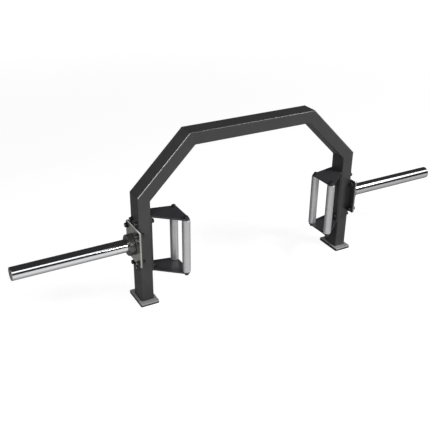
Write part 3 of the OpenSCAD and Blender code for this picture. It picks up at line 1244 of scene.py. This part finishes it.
@dataclass
class SleeveHub(EndPart):
    """The plate on a leg, the flange bolted to it, and what the sleeve turns on.

    Attributes:
        plate: The hub plate's thickness.
        flange: The flange's thickness.
        ring: The bearing ring's thickness.
        width: The plates from front to back.
        height: The plates' height.
        corner: The plates' corner radius.
        bevel: The flange's bevel.
        upright_wear: How far the flange's upright edges are darkened, as painted shade.
        ring_d: The bearing ring's diameter.
        spindle_d: The spindle's diameter.
        spread: How far the bolts are from the axis, along Y and Z.
        overhang: How far the threads stand out of the nuts.
        weld: The radius of the beads between leg and plate.
        weld_inset: How far the beads end inside the plate.
    """

    plate: float = 4
    flange: float = 6
    ring: float = 3
    width: float = 134
    height: float = 144
    corner: float = 4
    bevel: float = 1.5
    upright_wear: float = -0.4
    ring_d: float = 82
    spindle_d: float = 30
    spread: Point = (52, 57)
    overhang: float = 1.5
    weld: float = 2.7
    weld_inset: float = 4

    def build(self) -> None:
        """Builds the hub from the leg outwards and finishes what it hides."""
        face = LEG_OUTSIDE + self.plate
        seat = face + self.flange
        plan, place = rectangle(self.width, self.height, self.corner), across(AXIS_Y, AXIS_Z)
        plate = Solid()
        plate.slab(plan, LEG_OUTSIDE, face, place, (0.5, 0.4))
        # How far a bead's middle is behind the plate and inside the leg's side
        back, inward = 2.2, 0.9
        reach = self.height / 2 - self.weld_inset
        for sign in (-1, 1):
            edge = AXIS_Y + sign * (LEG_DEPTH / 2 - inward)
            ends = [Vector((LEG_OUTSIDE - back, edge, AXIS_Z + h)) for h in (-reach, reach)]
            plate.bead(ends, Vector((1, 0, 0)), self.weld)
        self.add(plate, "hub_plate", Slot.FRAME, FRAME_COAT)
        flange = Solid()
        flange.slab(plan, face, seat, place, (0.3, self.bevel), 1, sawn=True)
        # Painted shade: the flange's front and back edges are darkened partway towards a near black
        flange.mark(self.upright_wear, lambda side: abs(side.normal.y) > SQUARELY)
        self.add(flange, "sleeve_flange", Slot.FLANGE, FLANGE_PLATING)
        ring = Solid()
        rim, bore, end = self.ring_d / 2, self.spindle_d / 2, seat + self.ring
        corners = [(seat, bore), (end, bore), (end, rim), (seat, rim)]
        ring.turn(rounded(corners, [0, 0, 0.4, 0], 3), place, 128, loop=True)
        self.add(ring, "hub_ring", Slot.FLANGE, COLLAR_BLACKENED)
        bolts, nuts = Solid(), Solid()
        FLANGE_BOLT.bolt_up(bolts, nuts, self.spread, seat, LEG_OUTSIDE, self.overhang)
        self.add(bolts, "flange_bolts", Slot.BOLT, BOLT_OXIDE)
        self.add(nuts, "flange_nuts", Slot.BOLT, BOLT_OXIDE)
        self.keep(SPINDLE_STEEL, "spindle", "thrust_washer")
        self.keep(FASTENER_ZINC, "retaining_washer", "retaining_bolt")


@dataclass
class TurningSleeve(EndPart):
    """The loading sleeve with its collar, end cap and bushes, which turn together.

    Attributes:
        start: The collar's inner face.
        load: The collar's outer face, where plates stop.
        end: The sleeve's open end.
        diameter: The loading diameter.
        seat_d: The diameter under the collar.
        bore: The sleeve's bore.
        collar_d: The collar's diameter.
        chamfer: The collar's chamfer.
        lip: The end cap's lip.
        lip_chamfer: The lip's chamfer.
        spigot: How deep the cap goes into the bore.
    """

    start: float = 502
    load: float = 523
    end: float = 951
    diameter: float = 50
    seat_d: float = 48
    bore: float = 40
    collar_d: float = 82
    chamfer: float = 1.5
    lip: float = 4
    lip_chamfer: float = 2
    spigot: float = 8

    def build(self) -> None:
        """Builds the turned pieces and finishes the bushes."""
        place, body = across(AXIS_Y, AXIS_Z), self.side.node("sleeve_rotor")
        seat, outer, inner = self.seat_d / 2, self.diameter / 2, self.bore / 2
        tube = Solid()
        steps = [(self.start, seat), (self.load, seat), (self.load, outer), (self.end, outer)]
        steps += [(self.end, inner), (self.start, inner)]
        tube.turn(rounded(steps, [0.3, 0, 0, 0.3, 0, 0], 3), place, 128, loop=True)
        self.add(tube, "sleeve", Slot.SLEEVE, SLEEVE_CHROME, body)
        collar, rim = Solid(), self.collar_d / 2
        block = [(self.start, seat), (self.start, rim - self.chamfer), (self.start + self.chamfer, rim)]
        block += [(self.load - self.chamfer, rim), (self.load, rim - self.chamfer), (self.load, seat)]
        collar.turn(rounded(block, [0, 0.5, 0.5, 0.5, 0.5, 0], 3), place, 128, loop=True)
        self.add(collar, "collar", Slot.COLLAR, COLLAR_BLACKENED, body)
        cap, tip = Solid(), self.end + self.lip
        turned = [(tip, 0), (tip, outer - self.lip_chamfer), (tip - self.lip_chamfer, outer)]
        turned += [(self.end, outer), (self.end, inner)]
        turned += [(self.end - self.spigot, inner), (self.end - self.spigot, 0)]
        cap.turn(rounded(turned, [0, 0.5, 0.5, 0.3, 0, 0.5, 0], 3, closed=False), place, 128)
        self.add(cap, "end_cap", Slot.SLEEVE, CAP_TURNED, body)
        self.keep(BUSH_BRONZE, "inner_bush", "outer_bush")


@dataclass
class KnurledGrip:
    """The knurled bar that all four grips are cut from.

    Attributes:
        length: The grip's length.
        diameter: Over the knurl.
        chamfer: At each end.
        band: The plain band at each end.
        relief: How far the plain band lies below the knurl's crests, which also gives the band part of the
            cuts' painted shade.
        depth: How deep the knurl is cut.
        runout: How far inside the band's end the knurl's first cut lies.
        band_end: How far inside its nominal end the plain band really ends.
        around: Diamonds round the bar.
        rows: Half diamonds along the bar.
        mesh: The grip's mesh, once it is cut.
    """

    length: float = 220
    diameter: float = 32
    chamfer: float = 2
    band: float = 8
    relief: float = 0.35
    depth: float = 0.55
    runout: float = 0.9
    band_end: float = 0.3
    around: int = 50
    rows: int = 118
    mesh: bpy.types.Mesh | None = field(default=None, init=False)

    def cut(self) -> bpy.types.Mesh:
        """Cuts the grip the first time it is asked for.

        Returns:
            The grip's mesh.
        """
        if self.mesh is None:
            solid = Solid()
            crest, half = self.diameter / 2, self.length / 2
            root, plain, knurl = crest - self.depth, crest - self.relief, half - self.band
            corners = [(-half, 0), (-half, plain - self.chamfer), (self.chamfer - half, plain)]
            corners.append((self.band_end - knurl, plain))
            end = rounded(corners, [0, 0.5, 0.8, 0], 3, closed=False)
            rings = [self.ring(h, [r]) for h, r in end]
            for j in range(self.rows + 1):
                h = -knurl + self.runout + 2 * (knurl - self.runout) * j / self.rows
                teeth = [root, crest] if j % 2 else [crest, root]
                rings.append(self.ring(h, [root] if j in (0, self.rows) else teeth))
            rings += [self.ring(-h, [r]) for h, r in reversed(end)]
            self.knit(solid, rings, len(end))
            self.mesh = solid.shape("knurled_grip_shape", 75)
        return self.mesh

    def ring(self, height: float, radii: Sequence[float]) -> list[Vector]:
        """Gives one ring of points round the bar.

        Args:
            height: Where the ring is along the bar.
            radii: The radii that its points take in turn.

        Returns:
            The ring's points.
        """
        count = 2 * self.around
        points = []
        for i in range(count):
            angle, radius = TURN * i / count, radii[i % len(radii)]
            points.append(Vector((radius * math.cos(angle), radius * math.sin(angle), height)))
        return points

    def knit(self, solid: Solid, rings: Sequence[Ring], first: int) -> None:
        """Joins the rings, with each diamond of the knurl as four facets.

        Args:
            solid: The mesh that takes them.
            rings: All rings from end to end.
            first: The knurl's first ring.
        """
        rows = [[solid.mesh.verts.new(p) for p in ring] for ring in rings]
        for k, (near, far) in enumerate(zip(rows, rows[1:])):
            for i in range(len(near)):
                a, b, c, d = near[i], near[(i + 1) % len(near)], far[(i + 1) % len(near)], far[i]
                facets = [(a, b, c, d)]
                if first <= k < first + self.rows:
                    facets = [(b, c, a), (d, a, c)] if (i + k - first) % 2 else [(a, b, d), (c, d, b)]
                for corners in facets:
                    solid.mesh.faces.new(corners)


@dataclass
class Handle(EndPart):
    """A bracket bolted to a leg's inner face, its two arms and its two grips.

    Attributes:
        grip: The bar that its grips are cut from.
        plate: The bracket plate's thickness.
        half_width: Half the bracket plate's width.
        grip_x: The grips' place across the bar.
        spacing: From the rear grip to the front one.
        tip: The radius of the arms' round corners.
        arm: The arms' thickness.
        spread: How far the bracket's bolts are from the sleeve's axis, along Y and Z.
        screw_depth: How deep the grip screws go.
        overhang: How far the threads stand out of the nuts.
        weld: The radius of the beads between plate and arms.
        weld_inset: How far the beads end inside the plate.
    """

    grip: KnurledGrip
    plate: float = 5
    half_width: float = 35
    grip_x: float = 328
    spacing: float = 106
    tip: float = 13
    arm: float = 6
    spread: Point = (24, 92)
    screw_depth: float = 25
    overhang: float = 1.5
    weld: float = 2.3
    weld_inset: float = 2

    @property
    def base(self) -> float:
        """Returns the bracket plate's inner face, where the arms start."""
        return LEG_INSIDE - self.plate

    @property
    def low(self) -> float:
        """Returns the lower arm's upper face."""
        return AXIS_Z - self.grip.length / 2

    @property
    def high(self) -> float:
        """Returns the upper arm's lower face."""
        return AXIS_Z + self.grip.length / 2

    def build(self) -> None:
        """Builds the bracket, the arms, the grips and their fasteners."""
        self.bracket()
        self.arms()
        self.grips()
        self.fasten()

    def bracket(self) -> None:
        """Builds the bracket plate with the welds that hold the arms."""
        # How far a bead's middle is from the plate and from the arm
        offset = 1.1
        plate = Solid()
        plan = rectangle(2 * self.half_width, self.high - self.low + 2 * self.arm, 1.2, 3)
        plate.slab(plan, self.base, LEG_INSIDE, across(AXIS_Y, AXIS_Z), (0.3, 0.5))
        reach = self.half_width - self.weld_inset
        for height in (self.low + offset, self.high - offset):
            ends = [Vector((self.base - offset, AXIS_Y + y, height)) for y in (-reach, reach)]
            plate.bead(ends, Vector((1, 0, 0)), self.weld)
        self.add(plate, "bracket_plate", Slot.HANDLE, HANDLE_COAT)

    def arms(self) -> None:
        """Builds the two arms."""
        corners = [(self.base, AXIS_Y - self.half_width), (self.base, AXIS_Y + self.half_width)]
        tips = [p for y in (0, -self.spacing) for p in circle(self.grip_x, AXIS_Y + y, self.tip, 96)]
        plan = wrap(corners + tips)
        for stem, bottom in (("handle_arm_upper", self.high), ("handle_arm_lower", self.low - self.arm)):
            arm = Solid()
            arm.slab(plan, bottom, bottom + self.arm, Matrix.Identity(4), (0.6, 0.6))
            self.add(arm, stem, Slot.HANDLE, HANDLE_COAT)

    def grips(self) -> None:
        """Stands the two grips between the arms."""
        for stem, y in (("grip_rear", 0.0), ("grip_front", -self.spacing)):
            place = (self.side.value * self.grip_x, AXIS_Y + y, AXIS_Z)
            fit(self.grip.cut(), self.side.node(stem), GRIP_KNURL, place=place)

    def fasten(self) -> None:
        """Adds the grip screws and the bracket's bolts and nuts."""
        screws, bolts, nuts = Solid(), Solid(), Solid()
        top, bottom = self.high + self.arm, self.arm - self.low
        for y in (AXIS_Y, AXIS_Y - self.spacing):
            GRIP_SCREW.drive(screws, upright(self.grip_x, y), top, self.high - self.screw_depth)
            GRIP_SCREW.drive(screws, inverted(self.grip_x, y), bottom, -self.low - self.screw_depth)
        HANDLE_BOLT.bolt_up(bolts, nuts, self.spread, LEG_OUTSIDE, self.base, self.overhang)
        for stem, solid in (("grip_screws", screws), ("bracket_bolts", bolts), ("bracket_nuts", nuts)):
            self.add(solid, stem, Slot.BOLT, BOLT_OXIDE)


# Studio


@dataclass
class Studio:
    """A pale floor under soft light, with softboxes in front of the bar.

    Attributes:
        floor: The floor's side.
        floor_glow: How bright the floor looks in the camera, and in metal in front of the bar.
        far_glow: How bright it looks in metal behind the bar, where no softbox stands.
        behind: The Y over which it fades from one to the other.
        pool: The middle of the painted pool of light that metal sees on the floor.
        pool_reach: How far from there the glow in metal starts and ends to fade.
        pool_edge: The share of the glow that is left beyond.
        white_reach: How far from the pool the camera sees the floor turn white.
        floor_white: The floor's own white, which takes the shadow.
        sky: How bright the room is overhead.
        haze: How bright the room is near the horizon.
        overhead: How steep overhead starts, as the upward part of a direction.
        room_tint: The colour of the room's light.
        aim: What the lamps face.
    """

    floor: float = 24.0
    floor_glow: float = 0.88
    far_glow: float = 0.14
    behind: Point = (-0.3, 0.1)
    pool: tuple[float, float, float] = (-0.4, -0.4, 0.0)
    pool_reach: Point = (0.5, 1.3)
    pool_edge: float = 0.45
    white_reach: Point = (2.0, 6.0)
    floor_white: float = 0.22
    sky: float = 0.04
    haze: float = 0.03
    overhead: float = 0.6
    room_tint: Colour = (0.96, 0.98, 1.0)
    aim: tuple[float, float, float] = (0.0, 0.0, 0.3)

    def build(self) -> None:
        """Builds the floor, the room and the lamps."""
        self.lay_floor()
        self.light_room()
        self.lamp("right_softbox", 51, 39, 3.3, (1.0, 0.9), 80)
        self.lamp("sleeve_card", 63, 33, 3.5, (1.2, 1.1), 12)
        self.lamp("left_softbox", -60, 35, 3.0, (0.9, 0.9), 40)
        self.lamp("front_fill", -8, 40, 4.0, (2.0, 1.5), 18)
        self.lamp("front_strip", 18, 26, 4.1, (1.2, 0.2), 26)
        self.lamp("back_card", -150, 28, 5.0, (2.4, 1.6), 5)

    def glow(self, recipe: Recipe) -> Socket:
        """Gives the floor's glow for what looks at it.

        Args:
            recipe: The floor's material.

        Returns:
            The full glow for the camera, a painted pool of light for metal that fades round the pool and
            behind the bar, and 0 for soft light.
        """
        depth = recipe.add("SeparateXYZ", {"Vector": recipe.place}).outputs["Y"]
        away = recipe.measure("DISTANCE", recipe.place, self.pool)["Value"]
        # Painted light: a pool of glow in front of the bar and painted shade behind it, seen only in metal
        # and glass
        behind = recipe.span(depth, self.behind, (self.floor_glow, self.far_glow), smooth=True)
        around = recipe.span(away, self.pool_reach, (1.0, self.pool_edge), smooth=True)
        beyond = recipe.span(away, self.white_reach, (self.floor_glow, 1.0), smooth=True)
        path = recipe.add("LightPath", {}).outputs
        mirrored = recipe.reckon("MAXIMUM", path["Is Glossy Ray"], path["Is Transmission Ray"])
        seen = recipe.reckon("MULTIPLY", path["Is Camera Ray"], beyond)
        reflected = recipe.reckon("MULTIPLY", mirrored, recipe.reckon("MULTIPLY", behind, around))
        return recipe.reckon("ADD", seen, reflected)

    def lay_floor(self) -> None:
        """Lays the floor, white to the camera and to metal, and keeps its shadow."""
        recipe = Recipe("studio_floor")
        recipe.set({
            "Base Color": (self.floor_white,) * 3,
            "Roughness": 1.0,
            "Specular IOR Level": 0.0,
            "Emission Color": (1, 1, 1),
            "Emission Strength": self.glow(recipe),
        })
        plane = bmesh.new()
        bmesh.ops.create_grid(plane, x_segments=8, y_segments=8, size=self.floor / 2)
        mesh = bpy.data.meshes.new("studio_floor")
        plane.to_mesh(mesh)
        plane.free()
        mesh.materials.append(recipe.material)
        floor = bpy.data.objects.new("studio_floor", mesh)
        bpy.context.scene.collection.objects.link(floor)

    def light_room(self) -> None:
        """Lights the room: white to the camera, soft and dim to everything else."""
        world = bpy.data.worlds.new("studio_room")
        bpy.context.scene.world = world
        world.use_nodes = True
        graph = Graph(world.node_tree)
        room = graph.nodes["Background"]
        direction = graph.add("TexCoord", {}).outputs["Generated"]
        rise = graph.add("SeparateXYZ", {"Vector": direction}).outputs["Z"]
        level = graph.span(rise, (0.0, self.overhead), (self.haze, self.sky))
        graph.feed(room, {"Color": self.room_tint, "Strength": level})
        white = graph.add("Background", {"Color": (1, 1, 1)})
        camera = graph.add("LightPath", {}).outputs["Is Camera Ray"]
        choice = {"Fac": camera, 1: room.outputs["Background"], 2: white.outputs["Background"]}
        shown = graph.add("MixShader", choice).outputs["Shader"]
        graph.feed(graph.nodes["World Output"], {"Surface": shown})

    def lamp(
        self, name: str, bearing: float, rise: float, distance: float, size: Point, power: float
    ) -> None:
        """Hangs a softbox that faces the bar.

        Args:
            name: The lamp's name.
            bearing: Degrees from straight in front towards +X.
            rise: Degrees above the floor.
            distance: Metres from the bar.
            size: Its width and height in metres.
            power: Its power in watts.
        """
        data = bpy.data.lights.new(name, "AREA")
        data.shape = "RECTANGLE"
        data.size, data.size_y = size
        data.energy = power
        lamp = bpy.data.objects.new(name, data)
        around, up = math.radians(bearing), math.radians(rise)
        away = Vector((math.sin(around) * math.cos(up), -math.cos(around) * math.cos(up), math.sin(up)))
        lamp.location = Vector(self.aim) + away * distance
        lamp.rotation_euler = away.to_track_quat("Z", "Y").to_euler()
        bpy.context.scene.collection.objects.link(lamp)


@dataclass(frozen=True)
class PhotoCamera:
    """The photograph's camera, found from the bar's own edges.

    Attributes:
        place: Where it stands.
        right: The picture's right, in the bar's frame.
        up: The picture's up.
        lens: The focal length for a sensor 36 mm wide.
        shift: How far the picture's middle is from the lens's axis, across and up.
        sight: How far it sees.
    """

    place: tuple[float, float, float] = (-1.310891, -2.089511, 1.517260)
    right: tuple[float, float, float] = (0.8790657, -0.47665527, 0.00657682)
    up: tuple[float, float, float] = (0.21088412, 0.40121955, 0.89137577)
    lens: float = 57.816
    shift: Point = (0.0022, -0.0005)
    sight: float = 60

    def build(self) -> None:
        """Sets up the camera."""
        data = bpy.data.cameras.new("photo_camera")
        data.lens = self.lens
        data.shift_x, data.shift_y = self.shift
        data.clip_end = self.sight
        camera = bpy.data.objects.new("photo_camera", data)
        right, up = Vector(self.right), Vector(self.up)
        turn = Matrix((right, up, right.cross(up))).transposed()
        camera.matrix_world = Matrix.Translation(self.place) @ turn.to_4x4()
        bpy.context.scene.collection.objects.link(camera)
        bpy.context.scene.camera = camera


def main() -> None:
    """Builds the camera, the bar and the studio."""
    logging.basicConfig(level=logging.INFO, format="%(message)s")
    PhotoCamera().build()
    WeldedFrame().build()
    grip = KnurledGrip()
    for side in Side:
        for part in (Foot(side), SleeveHub(side), TurningSleeve(side), Handle(side, grip)):
            part.build()
    Studio().build()
    bpy.context.scene.view_settings.view_transform = "Standard"


if __name__ == "__main__":
    main()
